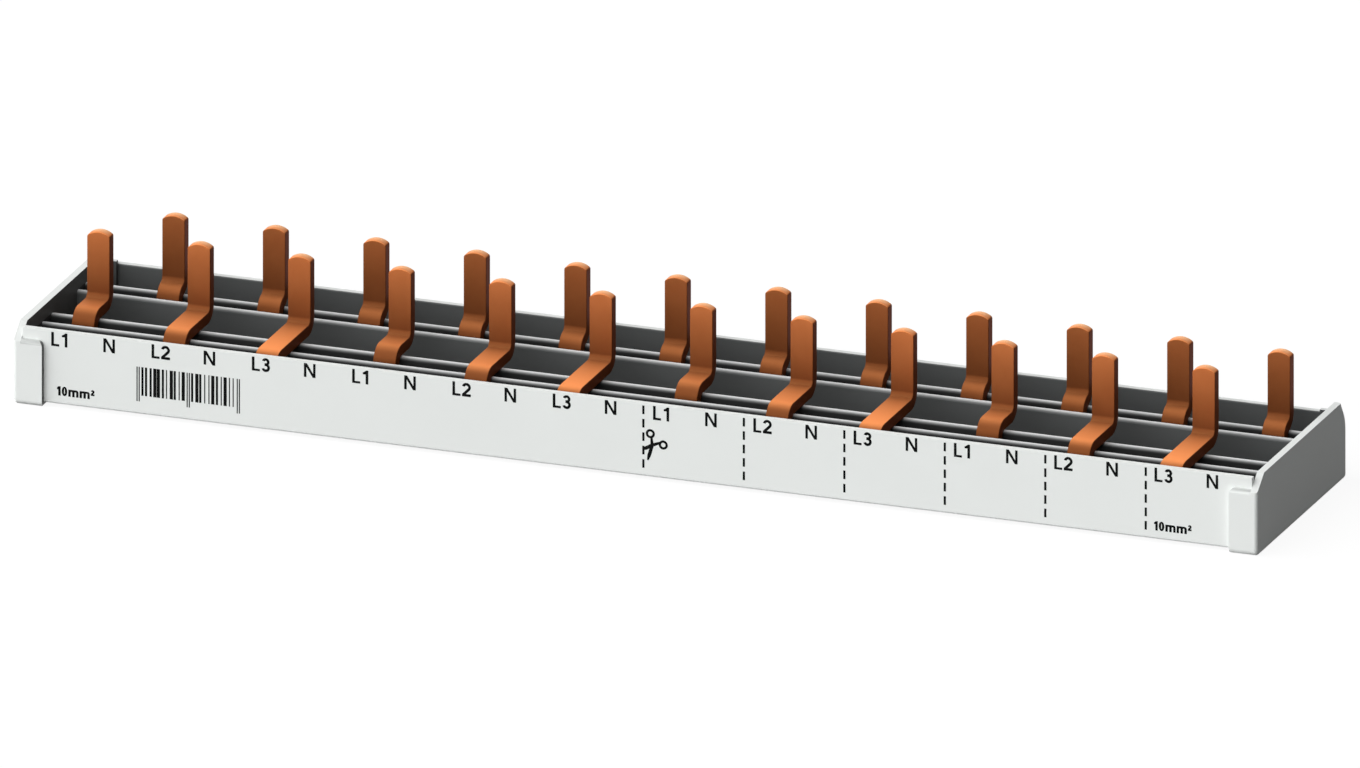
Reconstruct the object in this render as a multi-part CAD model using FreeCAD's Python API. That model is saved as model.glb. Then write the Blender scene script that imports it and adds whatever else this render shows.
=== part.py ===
"""Comb busbar for a row of DIN-rail devices: four copper combs in one insulating profile.

X runs along the profile, Y from its printed front to its back, Z up along the blades.
The origin is the middle of the footprint, on the plane the two end caps stand on.
All sizes are in millimetres. Depths are counted from the caps' front plane.
"""
import FreeCAD
import Part
import math
import os

Vector = FreeCAD.Vector

# The row of devices: one module holds one line blade and one neutral blade.
MODULES = 12
MODULE_PITCH = 18.0
PHASES = 3
END_MARGIN = 6.65
TOLERANCE = 1e-6

# Copper combs, stamped from 2 mm sheet: a 5 mm strip gives the 10 mm2 conductor.
SHEET = 2.0
STRIP_HEIGHT = 5.0
STRIP_SETBACK = 3.15
BEND_INNER_RADIUS = 1.0
BLADE_WIDTH = 4.05
BLADE_RISE = 13.65
TIP_CROWN = 0.75
TIP_CORNER_RADIUS = 0.25
ROOT_RADIUS = 1.0
LINE_BLADE_SETBACK = 4.65
NEUTRAL_JOGGLE = 2.9
FOOT_GAP = 0.05

# Insulating profile, extruded: floor, two walls and five ribs with round tops.
FLOOR_THICKNESS = 1.2
WALL_THICKNESS = 1.05
FRONT_WALL_HEIGHT = 11.84
BACK_WALL_HEIGHT = 10.32
RIB_THICKNESS = 1.35
RIB_HEIGHT = 9.57
ROOT_FILLET = 0.25
FRONT_BOTTOM_RADIUS = 0.5
BACK_BOTTOM_RADIUS = 0.5
LINE_SLOT_FRONT_GAP = 0.8
LINE_SLOT_BACK_GAP = 0.55
NEUTRAL_SLOT_GAP = 0.275
TROUGH_WIDTH = 11.18
BACK_CHANNEL_WIDTH = 8.47

# End caps, moulded: a plate with a rim that slides over the profile's end.
# The profile stands on the rim's floor and butts against the plate.
CAP_FIT = 0.05
CAP_FRONT_WALL = 0.95
CAP_BACK_WALL = 1.2
CAP_FLOOR = 0.63
CAP_PLATE = 1.25
CAP_HEIGHT = 14.0
CAP_RIM_LENGTH = 3.85
CAP_CHAMFER_START = 11.3
CAP_CHAMFER_ANGLE = 38.0
CAP_KNEE_HEIGHT = 10.43
CAP_KNEE_RADIUS = 6.3
CAP_LEAN = 33.5
CAP_FRONT_BOTTOM_RADIUS = 1.2
CAP_BACK_BOTTOM_RADIUS = 0.8
CAP_FRONT_RIM_TOP = 11.75
CAP_BACK_RIM_TOP = 11.85
CAP_RIM_CORNER_RADIUS = 1.0
CAP_RIM_FOOT_RADIUS = 0.5
CAP_RIM_EDGE_RADIUS = 0.8
CAP_EDGE_RADIUS = 0.6
CAP_TONGUE_THICKNESS = 0.9
CAP_TONGUE_LENGTH = 2.35
CAP_TONGUE_TOP = 12.65

# Depths that follow, from the caps' front plane towards the back.
profile_front = CAP_FRONT_WALL + CAP_FIT
line_slot_start = profile_front + WALL_THICKNESS
line_slot_width = LINE_SLOT_FRONT_GAP + SHEET + LINE_SLOT_BACK_GAP
line_slot_pitch = line_slot_width + RIB_THICKNESS
trough_start = line_slot_start + PHASES * line_slot_pitch
trough_end = trough_start + TROUGH_WIDTH
neutral_slot_start = trough_end + RIB_THICKNESS
neutral_slot_width = SHEET + 2 * NEUTRAL_SLOT_GAP
back_channel_start = neutral_slot_start + neutral_slot_width + RIB_THICKNESS
profile_back = back_channel_start + BACK_CHANNEL_WIDTH + WALL_THICKNESS
cap_depth = profile_back + CAP_FIT + CAP_BACK_WALL

# Heights that follow, from the plane the caps stand on.
channel_floor = CAP_FLOOR + FLOOR_THICKNESS
rib_top = channel_floor + RIB_HEIGHT
front_wall_top = channel_floor + FRONT_WALL_HEIGHT
back_wall_top = channel_floor + BACK_WALL_HEIGHT
strip_top = channel_floor + STRIP_HEIGHT
root_top = strip_top + ROOT_RADIUS
foot_middle = rib_top + FOOT_GAP + SHEET / 2
blade_tip = rib_top + FOOT_GAP + BLADE_RISE

# Lengths that follow, from the middle of the profile.
blade_step = MODULE_PITCH / 2
last_blade = (2 * MODULES - 1) * blade_step / 2
profile_end = last_blade + END_MARGIN
strip_end = profile_end - STRIP_SETBACK
plate_outside = profile_end + CAP_PLATE
rim_end = profile_end - CAP_RIM_LENGTH

bend_middle_radius = BEND_INNER_RADIUS + SHEET / 2
bend_outer_radius = BEND_INNER_RADIUS + SHEET


def row_y(depth):
    """Y in the part's frame for a depth counted from the caps' front plane."""
    return depth - cap_depth / 2


def section_point(depth, height):
    """Point of a section that lies across the profile."""
    return Vector(0, row_y(depth), height)


def elevation_point(x, z):
    """Point of an outline that lies along the profile, seen from the front."""
    return Vector(x, 0, z)


def rounded_outline(corners, closed=True):
    """Edges through (point, radius) corners, with a tangent arc at each corner that has a radius."""
    count = len(corners)
    stops = []
    for index, (corner, radius) in enumerate(corners):
        if radius <= 0:
            stops.append((corner, None, corner))
            continue
        before = corners[index - 1][0].sub(corner).normalize()
        after = corners[(index + 1) % count][0].sub(corner).normalize()
        half_angle = before.getAngle(after) / 2
        reach = radius / math.tan(half_angle)
        to_centre = before.add(after).normalize()
        middle = corner + to_centre * (radius / math.sin(half_angle) - radius)
        stops.append((corner + before * reach, middle, corner + after * reach))
    edges = []
    for index, (start, middle, end) in enumerate(stops):
        if middle is not None:
            edges.append(Part.Arc(start, middle, end).toShape())
        follower = stops[(index + 1) % count][0]
        last = index == count - 1
        if (closed or not last) and end.distanceToPoint(follower) > TOLERANCE:
            edges.append(Part.LineSegment(end, follower).toShape())
    return edges


def outline_face(corners):
    """Flat face inside a closed outline with rounded corners."""
    return Part.Face(Part.Wire(rounded_outline(corners)))


def extrude_along(face, start, end):
    """Solid made by running a section from one X to another."""
    moved = face.copy()
    moved.translate(Vector(start, 0, 0))
    return moved.extrude(Vector(end - start, 0, 0))


def extrude_deep(face, start, end):
    """Solid made by running a front outline from one depth to another."""
    moved = face.copy()
    moved.translate(Vector(0, row_y(start), 0))
    return moved.extrude(Vector(0, end - start, 0))


def rib_corners(start):
    """Corners of one rib, from its front foot over the round top to its back foot."""
    end = start + RIB_THICKNESS
    return [
        (section_point(start, channel_floor), ROOT_FILLET),
        (section_point(start, rib_top), RIB_THICKNESS / 2),
        (section_point(end, rib_top), RIB_THICKNESS / 2),
        (section_point(end, channel_floor), ROOT_FILLET),
    ]


def insulating_profile():
    """The extruded channel with its three line slots, wide trough, neutral slot and back channel."""
    back_wall_start = profile_back - WALL_THICKNESS
    corners = [
        (section_point(profile_front, CAP_FLOOR), FRONT_BOTTOM_RADIUS),
        (section_point(profile_front, front_wall_top), 0),
        (section_point(line_slot_start, front_wall_top), 0),
        (section_point(line_slot_start, channel_floor), ROOT_FILLET),
    ]
    for slot in range(PHASES):
        rib_start = line_slot_start + slot * line_slot_pitch + line_slot_width
        corners += rib_corners(rib_start)
    corners += rib_corners(trough_end)
    corners += rib_corners(neutral_slot_start + neutral_slot_width)
    corners += [
        (section_point(back_wall_start, channel_floor), ROOT_FILLET),
        (section_point(back_wall_start, back_wall_top), WALL_THICKNESS / 2),
        (section_point(profile_back, back_wall_top), WALL_THICKNESS / 2),
        (section_point(profile_back, CAP_FLOOR), BACK_BOTTOM_RADIUS),
    ]
    return extrude_along(outline_face(corners), -profile_end, profile_end)


def offset_point(before, corner, after, distance):
    """Corner of a path moved sideways, so that both runs shift by the distance."""
    if before is None:
        run = after.sub(corner).normalize()
        return corner + Vector(0, -run.z, run.y) * distance
    if after is None:
        run = corner.sub(before).normalize()
        return corner + Vector(0, -run.z, run.y) * distance
    run_in = corner.sub(before).normalize()
    run_out = after.sub(corner).normalize()
    side = Vector(0, -run_in.z, run_in.y) + Vector(0, -run_out.z, run_out.y)
    half_turn = run_in.getAngle(run_out) / 2
    return corner + side.normalize() * (distance / math.cos(half_turn))


def folded_section(path):
    """Section of the sheet folded along a path across the profile, with true bend radii."""
    side_a = []
    side_b = []
    for index, corner in enumerate(path):
        before = path[index - 1] if index > 0 else None
        after = path[index + 1] if index < len(path) - 1 else None
        radius_a = 0
        radius_b = 0
        if before is not None and after is not None:
            run_in = corner.sub(before)
            run_out = after.sub(corner)
            turns_to_a = run_in.cross(run_out).x > 0
            radius_a = BEND_INNER_RADIUS if turns_to_a else bend_outer_radius
            radius_b = bend_outer_radius if turns_to_a else BEND_INNER_RADIUS
        side_a.append((offset_point(before, corner, after, SHEET / 2), radius_a))
        side_b.append((offset_point(before, corner, after, -SHEET / 2), radius_b))
    return outline_face(side_a + side_b[::-1])


def crowned_blade(section):
    """One tab: the folded section given its width and a crowned tip with round corners."""
    half = BLADE_WIDTH / 2
    shoulder = blade_tip - TIP_CROWN
    low = elevation_point(-half, 0)
    crown = [
        Part.LineSegment(low, elevation_point(-half, shoulder)).toShape(),
        Part.Arc(
            elevation_point(-half, shoulder),
            elevation_point(0, blade_tip),
            elevation_point(half, shoulder),
        ).toShape(),
        Part.LineSegment(elevation_point(half, shoulder), elevation_point(half, 0)).toShape(),
        Part.LineSegment(elevation_point(half, 0), low).toShape(),
    ]
    front = extrude_deep(Part.Face(Part.Wire(crown)), 0, cap_depth)
    shoulders = []
    for edge in front.Edges:
        ends_high = all(abs(vertex.Z - shoulder) < TOLERANCE for vertex in edge.Vertexes)
        if ends_high and abs(edge.Length - cap_depth) < TOLERANCE:
            shoulders.append(edge)
    front = front.makeFillet(TIP_CORNER_RADIUS, shoulders)
    return extrude_along(section, -half, half).common(front)


def blade_root(strip_depth):
    """Where a tab leaves its strip: two stamped fillets, through the sheet's thickness."""
    half = BLADE_WIDTH / 2
    wide = half + ROOT_RADIUS
    flare = ROOT_RADIUS * (1 - math.cos(math.pi / 4))
    right_arc = Part.Arc(
        elevation_point(wide, strip_top),
        elevation_point(half + flare, strip_top + flare),
        elevation_point(half, root_top),
    ).toShape()
    left_arc = Part.Arc(
        elevation_point(-half, root_top),
        elevation_point(-half - flare, strip_top + flare),
        elevation_point(-wide, strip_top),
    ).toShape()
    outline = [
        Part.LineSegment(elevation_point(-wide, strip_top), elevation_point(wide, strip_top)).toShape(),
        right_arc,
        Part.LineSegment(elevation_point(half, root_top), elevation_point(-half, root_top)).toShape(),
        left_arc,
    ]
    face = Part.Face(Part.Wire(outline))
    return extrude_deep(face, strip_depth - SHEET / 2, strip_depth + SHEET / 2)


def comb(strip_depth, blade_depth, places):
    """One stamped and folded comb: a strip on edge with a blade for each place along it."""
    offset = blade_depth - strip_depth
    turn = math.pi / 2
    if offset < 2 * bend_middle_radius:
        turn = math.acos(1 - offset / (2 * bend_middle_radius))
    climb = offset / math.tan(turn)
    path = [
        section_point(strip_depth, root_top),
        section_point(strip_depth, foot_middle - climb / 2),
        section_point(blade_depth, foot_middle + climb / 2),
        section_point(blade_depth, blade_tip),
    ]
    blade = crowned_blade(folded_section(path))
    root = blade_root(strip_depth)
    strip = Part.makeBox(
        2 * strip_end,
        SHEET,
        STRIP_HEIGHT,
        Vector(-strip_end, row_y(strip_depth) - SHEET / 2, channel_floor),
    )
    solids = []
    for place in places:
        for piece in (blade, root):
            copy = piece.copy()
            copy.translate(Vector(place, 0, 0))
            solids.append(copy)
    return strip.multiFuse(solids).removeSplitter()


def cap_back():
    """The upper back of a cap's outline: an upright run, a soft knee and a lean."""
    top_depth = cap_depth - (CAP_HEIGHT - CAP_KNEE_HEIGHT) * math.tan(math.radians(CAP_LEAN))
    return [
        (section_point(top_depth, CAP_HEIGHT), 0),
        (section_point(cap_depth, CAP_KNEE_HEIGHT), CAP_KNEE_RADIUS),
        (section_point(cap_depth, 0), CAP_BACK_BOTTOM_RADIUS),
    ]


def plate_section():
    """Outline of a cap's plate: square in front with a long chamfer, leaning at the back."""
    chamfer_run = (CAP_HEIGHT - CAP_CHAMFER_START) / math.tan(math.radians(CAP_CHAMFER_ANGLE))
    corners = [
        (section_point(0, 0), CAP_FRONT_BOTTOM_RADIUS),
        (section_point(0, CAP_CHAMFER_START), 0),
        (section_point(chamfer_run, CAP_HEIGHT), 0),
    ]
    return outline_face(corners + cap_back())


def rim_section():
    """Outline of the rim before its pocket is cut: its front wall ends in a rounded edge."""
    corners = [
        (section_point(0, 0), CAP_FRONT_BOTTOM_RADIUS),
        (section_point(0, CAP_FRONT_RIM_TOP), CAP_RIM_EDGE_RADIUS),
        (section_point(profile_front, CAP_FRONT_RIM_TOP), 0),
        (section_point(profile_front, CAP_HEIGHT), 0),
    ]
    return outline_face(corners + cap_back())


def pocket_section():
    """Outline of the space that takes the profile's end, open at the top."""
    front = profile_front - CAP_FIT
    back = profile_back + CAP_FIT
    above = CAP_HEIGHT + CAP_FLOOR
    return outline_face([
        (section_point(front, CAP_FLOOR), FRONT_BOTTOM_RADIUS + CAP_FIT),
        (section_point(front, above), 0),
        (section_point(back, above), 0),
        (section_point(back, CAP_FLOOR), BACK_BOTTOM_RADIUS + CAP_FIT),
    ])


def rim_outline(top):
    """Front outline of the rim, with a rounded upper corner and a soft lower one."""
    return outline_face([
        (elevation_point(plate_outside, 0), 0),
        (elevation_point(plate_outside, top), 0),
        (elevation_point(rim_end, top), CAP_RIM_CORNER_RADIUS),
        (elevation_point(rim_end, 0), CAP_RIM_FOOT_RADIUS),
    ])


def cap_tongue():
    """Short upright tongue inside the back wall, which is held between it and the rim."""
    outer = profile_back - WALL_THICKNESS - CAP_FIT
    inner = outer - CAP_TONGUE_THICKNESS
    low = channel_floor + ROOT_FILLET + CAP_FIT
    outline = outline_face([
        (section_point(inner, low), 0),
        (section_point(inner, CAP_TONGUE_TOP), 0),
        (section_point(outer, CAP_TONGUE_TOP), 0),
        (section_point(outer, low), 0),
    ])
    return extrude_along(outline, profile_end - CAP_TONGUE_LENGTH, profile_end)


def soften_plate(plate):
    """Round the outer face's border, except along its chamfer and its top."""
    border = []
    for edge in plate.Edges:
        if any(abs(vertex.X - plate_outside) > TOLERANCE for vertex in edge.Vertexes):
            continue
        middle = edge.valueAt((edge.FirstParameter + edge.LastParameter) / 2)
        on_chamfer = middle.z > CAP_CHAMFER_START and middle.y < row_y(cap_depth / 2)
        on_top = middle.z > CAP_HEIGHT - TOLERANCE
        if not on_chamfer and not on_top:
            border.append(edge)
    return plate.makeFillet(CAP_EDGE_RADIUS, border)


def end_cap():
    """The right-hand cap: plate, rim round the profile's end and the tongue in its back channel."""
    plate = soften_plate(extrude_along(plate_section(), profile_end, plate_outside))
    rim = extrude_along(rim_section(), rim_end, profile_end)
    rim = rim.cut(extrude_along(pocket_section(), rim_end, profile_end))
    middle = cap_depth / 2
    front_keep = extrude_deep(rim_outline(CAP_FRONT_RIM_TOP), 0, middle)
    back_keep = extrude_deep(rim_outline(CAP_BACK_RIM_TOP), middle, cap_depth)
    rim = rim.common(front_keep.fuse(back_keep))
    return plate.multiFuse([rim, cap_tongue()]).removeSplitter()


def phase_places(phase):
    """X of each blade of one line conductor: every third module."""
    first = -last_blade + phase * MODULE_PITCH
    return [first + turn * PHASES * MODULE_PITCH for turn in range(MODULES // PHASES)]


def write(name, shape):
    """Save one piece as a STEP file of its own."""
    shape.exportStep("parts/" + name + ".step")
    print(name, "volume", round(shape.Volume, 2), "valid", shape.isValid(), "solids", len(shape.Solids))


os.makedirs("parts", exist_ok=True)

write("insulating_profile", insulating_profile())

line_blade_depth = trough_start + LINE_BLADE_SETBACK
for phase in range(PHASES):
    slot = PHASES - 1 - phase
    depth = line_slot_start + slot * line_slot_pitch + LINE_SLOT_FRONT_GAP + SHEET / 2
    conductor = comb(depth, line_blade_depth, phase_places(phase))
    write("busbar_l" + str(phase + 1), conductor)

neutral_depth = neutral_slot_start + neutral_slot_width / 2
neutral_places = [last_blade - turn * MODULE_PITCH for turn in range(MODULES)]
write("busbar_n", comb(neutral_depth, neutral_depth + NEUTRAL_JOGGLE, neutral_places))

right_cap = end_cap()
left_cap = right_cap.mirror(Vector(0, 0, 0), Vector(1, 0, 0))
write("end_cap_right", right_cap)
write("end_cap_left", left_cap)
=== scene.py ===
# %% [markdown]
# # A comb busbar for a row of DIN-rail devices
# Four copper combs stand in one extruded plastic channel, and a moulded cap closes each end.
# The solids come in as a fixed frame. This lesson gives them their looks: the combs are cut and
# folded again as sheet metal with soft edges, the plastics get their surfaces, and the front wall
# gets its print. Every size is in metres, in the frame's own coordinates.

import math

import bmesh
import bpy
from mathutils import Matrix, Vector


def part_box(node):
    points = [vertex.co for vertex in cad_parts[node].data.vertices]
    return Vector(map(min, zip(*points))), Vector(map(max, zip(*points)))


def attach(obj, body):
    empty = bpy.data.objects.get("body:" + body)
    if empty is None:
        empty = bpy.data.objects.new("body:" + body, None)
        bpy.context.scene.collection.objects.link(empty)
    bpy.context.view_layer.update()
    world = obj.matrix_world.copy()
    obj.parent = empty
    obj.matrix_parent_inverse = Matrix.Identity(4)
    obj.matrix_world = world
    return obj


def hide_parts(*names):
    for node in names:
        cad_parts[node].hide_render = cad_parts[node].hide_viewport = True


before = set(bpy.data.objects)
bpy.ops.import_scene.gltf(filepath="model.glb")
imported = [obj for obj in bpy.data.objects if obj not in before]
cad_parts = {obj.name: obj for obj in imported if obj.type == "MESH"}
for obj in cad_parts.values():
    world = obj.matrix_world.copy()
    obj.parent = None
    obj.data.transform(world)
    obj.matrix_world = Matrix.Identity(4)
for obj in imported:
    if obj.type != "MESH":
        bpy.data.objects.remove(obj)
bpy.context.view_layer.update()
MM = 0.001

# %% [markdown]
# ## Measures taken from the frame
# The pieces made here have to sit exactly where the solids are, so their places are read from the
# solids' boxes. Only what a box can't tell, such as a bend radius, is written down as a size.

# %% Read the places that the pieces share
wall_low, wall_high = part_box("insulating_profile")
cap_low, cap_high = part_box("end_cap_right")
line_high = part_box("busbar_l1")[1]
neutral_low, neutral_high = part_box("busbar_n")
LINES = 3
MODULES = 12
SHEET = 2.0 * MM
PITCH = 18.0 * MM
LAST_BLADE = 103.5 * MM
WALL = 1.05 * MM
RIB_HEIGHT = 9.57 * MM
FOOT_CLEARANCE = 0.05 * MM
FRONT_WALL = wall_low.y
CHANNEL_FLOOR = neutral_low.z
RIB_TOP = CHANNEL_FLOOR + RIB_HEIGHT
FOOT_TOP = RIB_TOP + FOOT_CLEARANCE + SHEET
BLADE_TIP = neutral_high.z
LINE_BLADE_FRONT = line_high.y - SHEET
NEUTRAL_BLADE_FRONT = neutral_high.y - SHEET
print("front wall, mm:", round(FRONT_WALL / MM, 3), "blade tips, mm:", round(BLADE_TIP / MM, 3))

# %% [markdown]
# ## Colours and nodes
# A colour is given as an sRGB hex value, while Blender's nodes count light linearly, so one
# function turns the first into the second. A second small function adds any node to any tree,
# with its settings, and fills its sockets with values or with links.

# %% Helpers for colours and nodes
def linear(hex_colour):
    """An sRGB colour such as "#b86638" as the linear colour that the nodes expect."""
    colour = []
    for start in (1, 3, 5):
        share = int(hex_colour[start:start + 2], 16) / 255
        colour.append(share / 12.92 if share <= 0.04045 else ((share + 0.055) / 1.055) ** 2.4)
    return (*colour, 1.0)


def add_node(tree, kind, settings=None, inputs=None):
    """Adds a node. An input is a plain value, a socket, or a node for its first output in use."""
    node = tree.nodes.new(kind)
    for name, value in (settings or {}).items():
        setattr(node, name, value)
    for name, value in (inputs or {}).items():
        socket = node.inputs[name]
        if isinstance(value, bpy.types.Node):
            value = next(output for output in value.outputs if output.enabled)
        if isinstance(value, bpy.types.NodeSocket):
            tree.links.new(value, socket)
        else:
            socket.default_value = value
    return node


def empty_material(name):
    """A node material with nothing but its output."""
    material = bpy.data.materials.new(name)
    material.use_nodes = True
    material.node_tree.nodes.clear()
    output = add_node(material.node_tree, "ShaderNodeOutputMaterial")
    return material, material.node_tree, output.inputs["Surface"]

# %% [markdown]
# ## White plastic
# The channel is rigid PVC pushed through a die, so its surface is smooth with faint lines that run
# along it. The caps are moulded in the same white, from a mould with a fine spark-eroded skin. Both
# look evenly matt, with a soft sheen at their rounded edges.
#
# In the photograph the space between the walls is far darker than the outside, and only the round
# tops of the ribs catch the light. So the colour changes by place: a box that reaches from the
# front wall's inner face to just past the back wall's marks the inside. There the colour is a
# dark grey of painted shade, which turns to a pale painted highlight over a rib's round top
# towards its highest line. Down in the narrow slots that hold the combs the painted shade is
# darker still than in the two wide spaces, where no comb stands.

# %% Shade the inside of the channel
# Painted shade for the inside and its slots, and a painted highlight for the rib tops.
INSIDE_PAINTED_SHADE = linear("#525454")
SLOT_PAINTED_SHADE = linear("#262727")
RIB_TOP_PAINTED_HIGHLIGHT = linear("#d9dbdb")
HAIR = 0.02 * MM
PAST_BACK_WALL = 0.1 * MM
INSIDE_LOW = Vector((-wall_high.x - HAIR, FRONT_WALL + WALL - HAIR, CHANNEL_FLOOR - HAIR))
INSIDE_HIGH = Vector((wall_high.x + HAIR, wall_high.y - WALL + PAST_BACK_WALL, cap_high.z + HAIR))
RIB_RADIUS = 0.675 * MM
TROUGH_START = FRONT_WALL + 14.5 * MM
TROUGH_END = FRONT_WALL + 27.0 * MM
BACK_SPACE_START = FRONT_WALL + 30.9 * MM
CROWN_FALLOFF = 4.0


def in_wide_space(tree, axis):
    """1 in the trough, in the space before the back wall and above the ribs, and 0 in the slots."""
    trough_middle = (TROUGH_START + TROUGH_END) / 2
    trough = add_node(tree, "ShaderNodeMath", {"operation": "COMPARE"},
                      {0: axis["Y"], 1: trough_middle, 2: TROUGH_END - trough_middle})
    rear = add_node(tree, "ShaderNodeMath", {"operation": "GREATER_THAN"},
                    {0: axis["Y"], 1: BACK_SPACE_START})
    above = add_node(tree, "ShaderNodeMath", {"operation": "GREATER_THAN"}, {0: axis["Z"], 1: RIB_TOP})
    either = add_node(tree, "ShaderNodeMath", {"operation": "MAXIMUM"}, {0: trough, 1: rear})
    return add_node(tree, "ShaderNodeMath", {"operation": "MAXIMUM"}, {0: either, 1: above})


def inner_shade(tree, place, axis, facing, outer_colour):
    """The outer colour, changed to the painted inner shade where a point lies inside the channel."""
    middle = (INSIDE_LOW + INSIDE_HIGH) / 2
    half = (INSIDE_HIGH - INSIDE_LOW) / 2
    moved = add_node(tree, "ShaderNodeVectorMath", {"operation": "SUBTRACT"}, {0: place, 1: middle})
    share = add_node(tree, "ShaderNodeVectorMath", {"operation": "DIVIDE"}, {0: moved, 1: half})
    away = add_node(tree, "ShaderNodeVectorMath", {"operation": "ABSOLUTE"}, {0: share})
    off = add_node(tree, "ShaderNodeSeparateXYZ", inputs={0: away}).outputs
    farther = add_node(tree, "ShaderNodeMath", {"operation": "MAXIMUM"}, {0: off["X"], 1: off["Y"]})
    farthest = add_node(tree, "ShaderNodeMath", {"operation": "MAXIMUM"}, {0: farther, 1: off["Z"]})
    inside = add_node(tree, "ShaderNodeMath", {"operation": "LESS_THAN"}, {0: farthest, 1: 1.0})

    # Painted highlight: paler the more a face looks up, near a rib's highest line.
    up = add_node(tree, "ShaderNodeMath", {"operation": "POWER"}, {0: facing["Z"], 1: CROWN_FALLOFF})
    high = add_node(tree, "ShaderNodeMapRange", inputs={
        "Value": axis["Z"], "From Min": RIB_TOP - 2 * RIB_RADIUS,
        "From Max": RIB_TOP - RIB_RADIUS})
    crown = add_node(tree, "ShaderNodeMath", {"operation": "MULTIPLY"}, {0: up, 1: high})
    wall = add_node(tree, "ShaderNodeMix", {"data_type": "RGBA"},
                    {"Factor": in_wide_space(tree, axis), "A": SLOT_PAINTED_SHADE, "B": INSIDE_PAINTED_SHADE})
    inner = add_node(tree, "ShaderNodeMix", {"data_type": "RGBA"},
                     {"Factor": crown, "A": wall, "B": RIB_TOP_PAINTED_HIGHLIGHT})
    return add_node(tree, "ShaderNodeMix", {"data_type": "RGBA"},
                    {"Factor": inside, "A": outer_colour, "B": inner})

# %% [markdown]
# A white slope that faces the lamp squarely would burn out to plain white and lose its outline.
# So slopes between front and top get a little painted shade, and so do the ledges before the
# front wall, which get light from the wall too. Slopes that are averted from the lamp, at the back
# and along the lower edges, get a little painted light, because the photograph shows them as
# bright as the rest. The end of the left cap's rim looks away from the lamp along the wall, and
# painted shade makes it nearly black there.

# %% Paint shade and light onto the white outside
OUTSIDE_WHITE = linear("#e7eae8")
OUTSIDE_SHADE = linear("#e3e6e4")
# Painted shade on slopes, ledges and the rim's end, and painted light on averted slopes.
SLOPE_PAINTED_SHADE = 0.24
SLOPE_TILT = -0.5
AVERTED_PAINTED_LIGHT = 0.2
AVERTED_TILT = 0.3
LEDGE_PAINTED_SHADE = 0.28
LEDGE_FACING = (0.3, 0.9)
RIM_END_PAINTED_SHADE = 0.9
RIM_END_FACING = (0.15, 0.6)
TONE_PATCH = 11.0 * MM


def white_with_painted_shading(tree, place, axis, facing):
    """White with soft uneven patches, painted shade on slopes, ledges and the left rim's end."""
    cloud = add_node(tree, "ShaderNodeTexNoise", inputs={
        "Vector": place, "Scale": 1 / TONE_PATCH, "Detail": 2.0, "Roughness": 0.5})
    white = add_node(tree, "ShaderNodeMix", {"data_type": "RGBA"},
                     {"Factor": cloud, "A": OUTSIDE_SHADE, "B": OUTSIDE_WHITE})
    # Painted shade on slopes between front and top, painted light on slopes turned from the lamp.
    tilt = add_node(tree, "ShaderNodeMath", {"operation": "MULTIPLY"},
                    {0: facing["Y"], 1: facing["Z"]})
    slope = add_node(tree, "ShaderNodeMapRange", inputs={
        "Value": tilt, "From Min": 0.0, "From Max": SLOPE_TILT,
        "To Min": 1.0, "To Max": 1 - SLOPE_PAINTED_SHADE})
    averted = add_node(tree, "ShaderNodeMapRange", inputs={
        "Value": tilt, "From Min": 0.0, "From Max": AVERTED_TILT, "To Max": AVERTED_PAINTED_LIGHT})
    toned = add_node(tree, "ShaderNodeMath", {"operation": "ADD"}, {0: slope, 1: averted})

    # Painted shade on the ledges before the front wall.
    before_wall = add_node(tree, "ShaderNodeMath", {"operation": "LESS_THAN"},
                           {0: axis["Y"], 1: FRONT_WALL - HAIR})
    between_plates = add_node(tree, "ShaderNodeMath", {"operation": "COMPARE"},
                              {0: axis["X"], 1: 0.0, 2: wall_high.x})
    on_ledge = add_node(tree, "ShaderNodeMath", {"operation": "MULTIPLY"},
                        {0: before_wall, 1: between_plates})
    up = add_node(tree, "ShaderNodeMapRange", inputs={
        "Value": facing["Z"], "From Min": LEDGE_FACING[0], "From Max": LEDGE_FACING[1],
        "To Max": LEDGE_PAINTED_SHADE})
    ledge_loss = add_node(tree, "ShaderNodeMath", {"operation": "MULTIPLY"}, {0: on_ledge, 1: up})
    # Painted shade, nearly black, on the end of the left cap's rim.
    left_cap_only = add_node(tree, "ShaderNodeMath", {"operation": "LESS_THAN"},
                             {0: axis["X"], 1: 0.0})
    rim = add_node(tree, "ShaderNodeMath", {"operation": "MULTIPLY"},
                   {0: before_wall, 1: left_cap_only})
    rightward = add_node(tree, "ShaderNodeMapRange", inputs={
        "Value": facing["X"], "From Min": RIM_END_FACING[0], "From Max": RIM_END_FACING[1],
        "To Max": RIM_END_PAINTED_SHADE})
    end_loss = add_node(tree, "ShaderNodeMath", {"operation": "MULTIPLY"}, {0: rim, 1: rightward})
    loss = add_node(tree, "ShaderNodeMath", {"operation": "MAXIMUM"}, {0: ledge_loss, 1: end_loss})
    kept = add_node(tree, "ShaderNodeMath", {"operation": "SUBTRACT"}, {0: toned, 1: loss})
    return add_node(tree, "ShaderNodeVectorMath", {"operation": "SCALE"}, {0: white, "Scale": kept})

# %% [markdown]
# Both plastics use this painted shade and light. They differ in their fine surface: the die
# leaves lines along the channel, and the mould an even grain on the caps. The same fine noise
# makes the relief and the small changes of gloss.

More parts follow.
